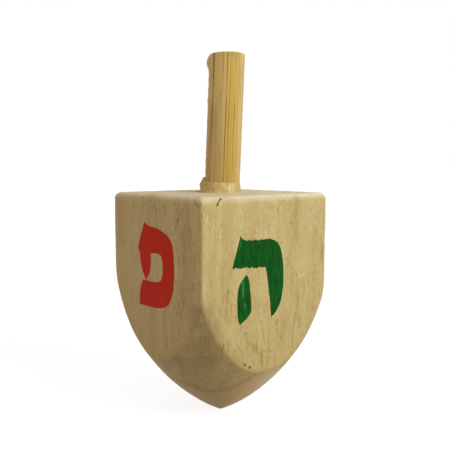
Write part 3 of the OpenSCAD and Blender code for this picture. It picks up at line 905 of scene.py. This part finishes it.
def bamboo_material(finishes):
    """Split bamboo: tan, with dark sunk fibres and pale proud ones, fine lines between them, and painted
    light on its shaded left side.
    """
    build = fresh_nodes(bpy.data.materials.new("split_bamboo"))
    place = build.place()
    tone, yellow, cut, painted_left_light = build.attributes("fibre", "yellow", "cut_end", "painted_left_light")
    fine = build.noise(place, (5.5, 5.5, 0.16), (0, 0, 0), 3, 0.6)
    broad = build.noise(place, (0.5, 0.5, 0.09), (2, 4, 1))
    paint = build.wash(finishes.bamboo, "warm_bamboo", broad, 0.35, 0.65, 0.3)
    paint = build.wash(paint, finishes.bamboo_dark, tone, -0.1, -0.75, 0.95)
    paint = build.wash(paint, finishes.bamboo_pale, tone, 0.08, 0.62, 0.9)
    paint = build.wash(paint, finishes.bamboo_dark, fine, 0.53, 0.76, 0.6)
    paint = build.tint(paint, (0.87, 0.79, 0.24), yellow, blend="MULTIPLY")
    # painted light: the rod's shaded left side made lighter
    paint = build.tint(paint, (1.25, 1.30, 1.27), painted_left_light, blend="MULTIPLY")
    height = build.parts(place)[2]
    paint = build.wash(paint, "bamboo_foot", height, 46.0, 37.5, 0.16)
    pores = build.noise(place, (4.2, 4.2, 4.2), rough=0.6)
    ends = build.tint("open_fibre", "fibre_end", build.rise(pores, 0.44, 0.62))
    paint = build.tint(paint, ends, cut, 0.8)
    height = build.times_plus(fine, -0.8, 1.0)
    return build.surface(paint, build.rise(tone, -1, 1, 0.62, 0.42), 0.45, height, 0.04 * MM)


def glue_mesh(handle):
    """The bead as a closed ring: angle round the rod by a section that goes up the outside, over the
    lip and back down inside the rod. Its outside is rod radius + width (1 - t^1.6)^(1/1.3) at a
    share t of its height: a flare that thins out to nothing. Width and height both wander round the
    rod, with one large blob and its spike on the left, and fine upright ripples follow the rod's
    fibres. Worked out in millimetres."""
    foot, axis = rod_line(handle)
    turn = np.linspace(0, 2 * np.pi, BEAD_COLUMNS, endpoint=False)
    rod = handle.radius / MM
    blob, spike, scant = facing(turn, -90, 27), facing(turn, -84, 9), facing(turn, 80, 40)
    lump, fine = noise(*ring(turn, 1.8), 0, 61), noise(*ring(turn, 8), 0, 62)
    width = handle.bead_foot / MM * (0.80 + 0.14 * lump + 0.05 * fine - 0.35 * scant)
    tall = handle.bead / MM * (1.06 + 0.10 * lump + 0.05 * fine + 0.06 * scant)
    share = np.linspace(0, 1, 26)[:, None]
    outside = width * (1 - share**1.6) ** (1 / 1.3) + 0.03
    ripple = 0.035 * noise(*ring(turn, 16), share * 1.2, 63) * np.sin(np.pi * np.sqrt(share))
    ripple += 0.04 * fine * (1 - share)
    swell = blob * (0.34 * bump(share, 0.62, 0.30) + 0.10) + 0.10 * spike
    skirt = (0.16 + 0.5 * blob) * step(share, 0.10, 0.0) * (1 + 0.4 * noise(*ring(turn, 4), 0, 64))
    radius = rod + outside + ripple + swell + skirt
    z = tall * share + (0.25 * blob + 0.55 * spike) * share**3
    down = np.linspace(1, 0, 6)[:, None]
    radius = np.concatenate([radius, np.full((len(down), len(turn)), rod - 0.25)])
    z = np.concatenate([z, z[-1] * down - 0.45 * (1 - down) - 0.05])
    z[0] -= 0.1
    spoke = spokes(axis, turn) * (radius * MM)[..., None]
    return grid_mesh("glue_bead", foot + axis / axis[2] * (z * MM)[..., None] + spoke)


def glue_material(finishes):
    """Dried clear glue over bamboo: its own tan, cloudier where it is thick, with a hard gloss."""
    build = fresh_nodes(bpy.data.materials.new("dried_glue"))
    place = build.place()
    cloud = build.noise(place, (1.6, 1.6, 1.3), (0, 0, 0), 3, 0.6)
    paint = build.wash(finishes.glue, "thick_glue", cloud, 0.35, 0.7, 0.6)
    fibres = build.noise(place, (3.6, 3.6, 0.22))
    paint = build.wash(paint, "dark_under_glue", fibres, 0.5, 0.72, 0.5)
    paint = build.wash(paint, "light_under_glue", fibres, 0.45, 0.28, 0.5)
    return build.surface(paint, build.rise(cloud, 0.3, 0.7, 0.28, 0.45), 0.4, cloud, 0.08 * MM)


# The marks

# Each mark: its name and ink, the axis that its side faces along and the way, how much its edge is
# frayed, how streaky it is, and where it is rubbed thin: middle and reach in millimetres, and share.
MARKS = [
    ("he", "green", 1, -1, 1.0, 1.0, [
        ((-5.35, -11.6, 22.9), (0.5, 1, 2.1), 0.9),
        ((-4.95, -11.6, 20.3), (0.3, 1, 0.9), 0.6),
        ((-5.95, -11.6, 29.4), (0.3, 1, 1.5), 0.9),
    ]),
    ("pe", "red", 0, -1, 0.4, 0.25, [((-12.8, -1.5, 20.0), (1, 1.2, 2.5), 0.10)]),
    ("nun", "blue", 1, 1, 0.8, 0.8, [((0.5, 12.1, 24.0), (0.7, 1, 2.0), 0.5)]),
    ("gimel", "orange", 0, 1, 0.8, 0.8, [((12.6, 1.0, 26.0), (1, 0.7, 2.0), 0.5)]),
]


EDGE_STEP, INK_DEPTH = 0.05, 0.17  # from point to point of a mark's edge, and into the wood, in millimetres

# Teeth of a mark's edge, where the ink ran along the grain: their width and their length along the
# grain, their height, all in millimetres, and the noise's seed.
TEETH = [(0.24, 3.0, 0.07, 71), (0.11, 2.0, 0.13, 72)]


def outline_loops(node, axis, way):
    """The outlines of a CAD mark on its outer face, as loops of points: the sides of the face's
    triangles that no second triangle shares, each running on to the next. Following them doubles
    the run at each turn."""
    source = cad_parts[node].data
    source.calc_loop_triangles()
    points = np.zeros(len(source.vertices) * 3, np.float32)
    source.vertices.foreach_get("co", points)
    corners = np.zeros(len(source.loop_triangles) * 3, np.int32)
    source.loop_triangles.foreach_get("vertices", corners)
    points = np.round(points.reshape(-1, 3).astype(float), 7)
    points, same = np.unique(points, axis=0, return_inverse=True)
    triangles = same.ravel()[corners].reshape(-1, 3)
    outer = way * (way * points[:, axis]).max()
    triangles = triangles[(np.abs(points[triangles, axis] - outer) < 1e-6).all(1)]
    start, end = triangles.ravel(), np.roll(triangles, -1, axis=1).ravel()
    count = len(points)
    lone = ~np.isin(start * count + end, end * count + start)
    follows = np.full(count, -1)
    follows[start[lone]] = end[lone]
    loops, left = [], np.zeros(count, bool)
    left[start[lone]] = True
    while left.any():
        order, jump = np.array([np.flatnonzero(left)[0]]), follows.copy()
        while len(order) < left.sum() * 2:
            order = np.concatenate([order, jump[order]])
            jump = np.where(jump >= 0, jump[jump], -1)
        run = np.flatnonzero(order == order[0])
        order = order[: run[1]] if len(run) > 1 else order
        loops.append(points[order])
        left[order] = False
    return loops


def mark_mesh(name, node, axis, way, fray):
    """A mark as a thin plate of soaked-in ink: the CAD outline, stepped along by EDGE_STEP, with each
    point pushed up or down the grain by noise across it where the edge runs across the grain, and
    a little sideways by slower noise, then carried inwards."""
    verts, quads, caps, total = [], [], [], 0
    across = 1 - axis
    for loop in outline_loops(node, axis, way):
        closed = np.vstack([loop, loop[:1]])
        gone = np.concatenate([[0], np.cumsum(np.linalg.norm(np.diff(closed, axis=0), axis=1))])
        at = np.linspace(0, gone[-1], int(gone[-1] / (EDGE_STEP * MM)), endpoint=False)
        edge = np.stack([np.interp(at, gone, closed[:, k]) for k in range(3)], 1)
        beside, high = edge[:, across] / MM, edge[:, 2] / MM
        run = np.roll(edge, -2, axis=0) - np.roll(edge, 2, axis=0)
        level = step(np.abs(run[:, across]) / np.linalg.norm(run, axis=1), 0.75, 0.97)
        teeth = sum(deep * noise(beside / wide, high / long, 0, seed) for wide, long, deep, seed in TEETH)
        edge[:, 2] += teeth * fray * level * MM
        edge[:, across] += 0.035 * noise(high / 0.9, beside / 0.9, 0, 73) * MM
        back = edge.copy()
        back[:, axis] -= way * INK_DEPTH * MM
        count = len(edge)
        index = np.arange(count) + total
        ahead = np.roll(index, -1)
        quads.append(np.stack([ahead, index, index + count, ahead + count], 1))
        caps += [index.tolist(), (index[::-1] + count).tolist()]
        verts += [edge, back]
        total += 2 * count
    mesh = bpy.data.meshes.new(name)
    mesh.from_pydata(np.vstack(verts).tolist(), [], np.concatenate(quads).tolist() + caps)
    mesh.validate()
    mesh.update()
    return mesh


def ink_material(name, finishes, ink, streaks, worn):
    """Ink soaked into the grain: the wood's own grain shows through as streaks and flecks, and it is
    rubbed thin in the worn places."""
    build = fresh_nodes(bpy.data.materials.new(name))
    ink = np.array(ink)
    light = np.minimum(1.0, ink * 1.45 + 0.008)
    place = build.place()
    grain = wood_grain(build, finishes, place, 0.5)
    streak = build.noise(place, (2.2, 2.2, 0.6), (4, 1, 6), 3, 0.65)
    line = build.noise(place, (7.5, 7.5, 0.5), (2, 9, 3))
    blotch = build.noise(place, (0.7, 0.7, 0.5), (6, 2, 1), 3, 0.6)
    dull = 0.9 * ink + 0.1 * ink.mean()
    paint = build.wash(1.16 * ink, dull, blotch, 0.42, 0.6, 0.8 * streaks)
    paint = build.wash(paint, 0.42 * ink, streak, 0.42, 0.72, 0.7 * streaks)
    paint = build.wash(paint, light, line, 0.5, 0.75, 0.4 * streaks)
    rubbed = 0.0
    for middle, reach, share in worn:
        away = build.vector("SUBTRACT", place, middle)
        away = build.vector("LENGTH", build.vector("DIVIDE", away, reach), out=1)
        rubbed = build.larger(build.times(build.rise(away, 1.0, 0.2), share), rubbed)
    thread = build.noise(place, (6.5, 6.5, 0.6), (7, 3, 5), 2, 0.65)
    rubbed = build.times(rubbed, build.rise(thread, 0.42, 0.58))
    thin = build.tint(2.0 * light + 0.01, grain["Color"], 0.06)
    paint = build.tint(paint, thin, rubbed)
    rough = build.rise(streak, 0.3, 0.7, 0.48, 0.62)
    return build.surface(paint, rough, 0.06, grain["Height"], 0.045 * MM)


# The stage

LENS, SENSOR, SHIFT_X, SHIFT_Y = 47.39, 36.0, 0.0097, 0.0105
PITCH = math.radians(5.94)  # how far that camera looks down
AIM_HEIGHT, DISTANCE = 30.0, 95.97  # of that camera, in millimetres, fitted to the photo with the rest
FLOOR = 4.0  # half the floor's width, in metres
SIDE_LAMP, SIDE_AIM = Vector((-0.125, 0.045, 0.045)), Vector((-0.01, 0.0, 0.022))  # in metres


def floor_material():
    """A white floor that still takes a shadow: to the camera it is part glow and part lit paint, and
    to light that bounces off it, it is plain pale paint."""
    build = fresh_nodes(bpy.data.materials.new("white_floor"))
    seen = build.add("ShaderNodeLightPath").outputs
    glow = build.add("ShaderNodeEmission", {"Color": (1, 1, 1), "Strength": 0.88})
    lit = build.add("ShaderNodeBsdfDiffuse", {"Color": (0.22, 0.22, 0.22)})
    both = build.add("ShaderNodeAddShader", {0: glow.outputs[0], 1: lit.outputs[0]})
    plain = build.add("ShaderNodeBsdfDiffuse", {"Color": (0.42, 0.41, 0.40)})
    clear = build.larger(seen["Is Glossy Ray"], seen["Is Transmission Ray"])
    clear = build.larger(seen["Is Camera Ray"], clear)
    made = build.add("ShaderNodeMixShader", {0: clear, 1: plain.outputs[0], 2: both.outputs[0]})
    build.add("ShaderNodeOutputMaterial", {"Surface": made.outputs[0]})
    return build.owner


def white_world(strength):
    """White to the camera and behind clear things, and an even grey light for the rest."""
    build = fresh_nodes(bpy.data.worlds.new("soft_white"))
    seen = build.add("ShaderNodeLightPath").outputs
    clear = build.add("ShaderNodeBackground", {"Color": (1, 1, 1), "Strength": 1.0})
    light = build.add("ShaderNodeBackground", {"Color": (1.0, 0.86, 0.83), "Strength": strength})
    share = build.larger(seen["Is Camera Ray"], seen["Is Transmission Ray"])
    made = build.add("ShaderNodeMixShader", {0: share, 1: light.outputs[0], 2: clear.outputs[0]})
    build.add("ShaderNodeOutputWorld", {"Surface": made.outputs[0]})
    return build.owner


def add_sun(name, toward, strength, spread, hue=(1, 1, 1)):
    """A lamp with parallel light that comes from the direction toward, soft over spread degrees."""
    lamp = bpy.data.lights.new(name, "SUN")
    lamp.energy, lamp.angle, lamp.color = strength, math.radians(spread), hue
    placed = bpy.data.objects.new(name, lamp)
    placed.rotation_euler = Vector(toward).to_track_quat("Z", "Y").to_euler()
    bpy.context.scene.collection.objects.link(placed)


# Operators and the panel


class TOP_OT_block(bpy.types.Operator):
    """Makes the wooden block with its turned end"""

    bl_idname = "spinning_top.block"
    bl_label = "Wooden Block"

    def execute(self, context):
        scene = context.scene
        mesh = block_mesh(scene.top_block, scene.top_handle)
        add_piece("wooden_block", mesh, block_material(scene.top_finishes), "block")
        return {"FINISHED"}


class TOP_OT_handle(bpy.types.Operator):
    """Makes the leaning bamboo handle"""

    bl_idname = "spinning_top.handle"
    bl_label = "Bamboo Handle"

    def execute(self, context):
        mesh = handle_mesh(context.scene.top_handle)
        material = bamboo_material(context.scene.top_finishes)
        add_piece("bamboo_handle", mesh, material, "handle")
        return {"FINISHED"}


class TOP_OT_glue(bpy.types.Operator):
    """Makes the bead of dried glue round the handle's foot"""

    bl_idname = "spinning_top.glue"
    bl_label = "Glue Bead"

    def execute(self, context):
        mesh = glue_mesh(context.scene.top_handle)
        material = glue_material(context.scene.top_finishes)
        add_piece("glue_bead", mesh, material, "glue")
        return {"FINISHED"}


class TOP_OT_marks(bpy.types.Operator):
    """Makes the four marks of soaked-in ink, one to each side"""

    bl_idname = "spinning_top.marks"
    bl_label = "Ink Marks"

    def execute(self, context):
        finishes = context.scene.top_finishes
        for mark, ink, axis, way, fray, streaks, worn in MARKS:
            mesh = mark_mesh("ink_" + mark, "mark_" + mark, axis, way, fray)
            material = ink_material(ink + "_ink", finishes, getattr(finishes, ink), streaks, worn)
            add_piece("ink_" + mark, mesh, material, "mark_" + mark)
        return {"FINISHED"}


class TOP_OT_stage(bpy.types.Operator):
    """Makes the camera, the lamps, the white world and the floor"""

    bl_idname = "spinning_top.stage"
    bl_label = "Stage"

    def execute(self, context):
        scene = context.scene
        lens = bpy.data.cameras.new("camera")
        lens.lens, lens.sensor_width = LENS, SENSOR
        lens.shift_x, lens.shift_y = SHIFT_X, SHIFT_Y
        lens.clip_start, lens.clip_end = 0.005, 20.0
        camera = bpy.data.objects.new("camera", lens)
        level = math.cos(PITCH)
        ahead = Vector((math.sin(YAW) * level, math.cos(YAW) * level, -math.sin(PITCH)))
        camera.location = Vector((0.0, 0.0, AIM_HEIGHT)) * MM - ahead * DISTANCE * MM
        camera.rotation_euler = ahead.to_track_quat("-Z", "Y").to_euler()
        scene.collection.objects.link(camera)
        scene.camera = camera

        corners = [(-FLOOR, -FLOOR, 0), (FLOOR, -FLOOR, 0), (FLOOR, FLOOR, 0), (-FLOOR, FLOOR, 0)]
        floor = bpy.data.meshes.new("floor")
        floor.from_pydata(corners, [], [(0, 1, 2, 3)])
        placed = bpy.data.objects.new("floor", floor)
        floor.materials.append(floor_material())
        scene.collection.objects.link(placed)

        scene.world = white_world(0.42)
        add_sun("key", (0.24, -0.86, 0.42), strength=2.17, spread=24, hue=(0.97, 1.02, 1.015))
        add_sun("sky", (0.0, 0.0, 1.0), strength=0.44, spread=90)
        side = bpy.data.lights.new("side", "AREA")
        side.shape, side.size, side.energy, side.color = "DISK", 0.08, 0.0128, (1.0, 0.81, 0.76)
        lamp = bpy.data.objects.new("side", side)
        lamp.location = SIDE_LAMP
        lamp.rotation_euler = (SIDE_LAMP - SIDE_AIM).to_track_quat("Z", "Y").to_euler()
        scene.collection.objects.link(lamp)
        scene.view_settings.view_transform = "Standard"
        return {"FINISHED"}


class TOP_PT_panel(bpy.types.Panel):
    """Sizes, finishes and pieces of the spinning top"""

    bl_label = "Spinning Top"
    bl_idname = "TOP_PT_panel"
    bl_space_type = "VIEW_3D"
    bl_region_type = "UI"
    bl_category = "Spinning Top"

    def draw(self, context):
        for title, group in (("Block", "top_block"), ("Handle", "top_handle"), ("Finishes", "top_finishes")):
            box = self.layout.box()
            box.label(text=title)
            values = getattr(context.scene, group)
            for key in values.__annotations__:
                box.prop(values, key)
        for operator in OPERATORS:
            self.layout.operator(operator.bl_idname)


GROUPS = {"top_block": BlockSizes, "top_handle": HandleSizes, "top_finishes": Finishes}
OPERATORS = [TOP_OT_block, TOP_OT_handle, TOP_OT_glue, TOP_OT_marks, TOP_OT_stage]
CLASSES = [*GROUPS.values(), *OPERATORS, TOP_PT_panel]


def register():
    for made in CLASSES:
        bpy.utils.register_class(made)
    for name, group in GROUPS.items():
        setattr(bpy.types.Scene, name, PointerProperty(type=group))


def unregister():
    for name in GROUPS:
        delattr(bpy.types.Scene, name)
    for made in reversed(CLASSES):
        bpy.utils.unregister_class(made)


def main():
    """Registers the classes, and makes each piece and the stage."""
    register()
    bpy.ops.spinning_top.stage()
    bpy.ops.spinning_top.block()
    bpy.ops.spinning_top.handle()
    bpy.ops.spinning_top.glue()
    bpy.ops.spinning_top.marks()


if __name__ == "__main__":
    main()
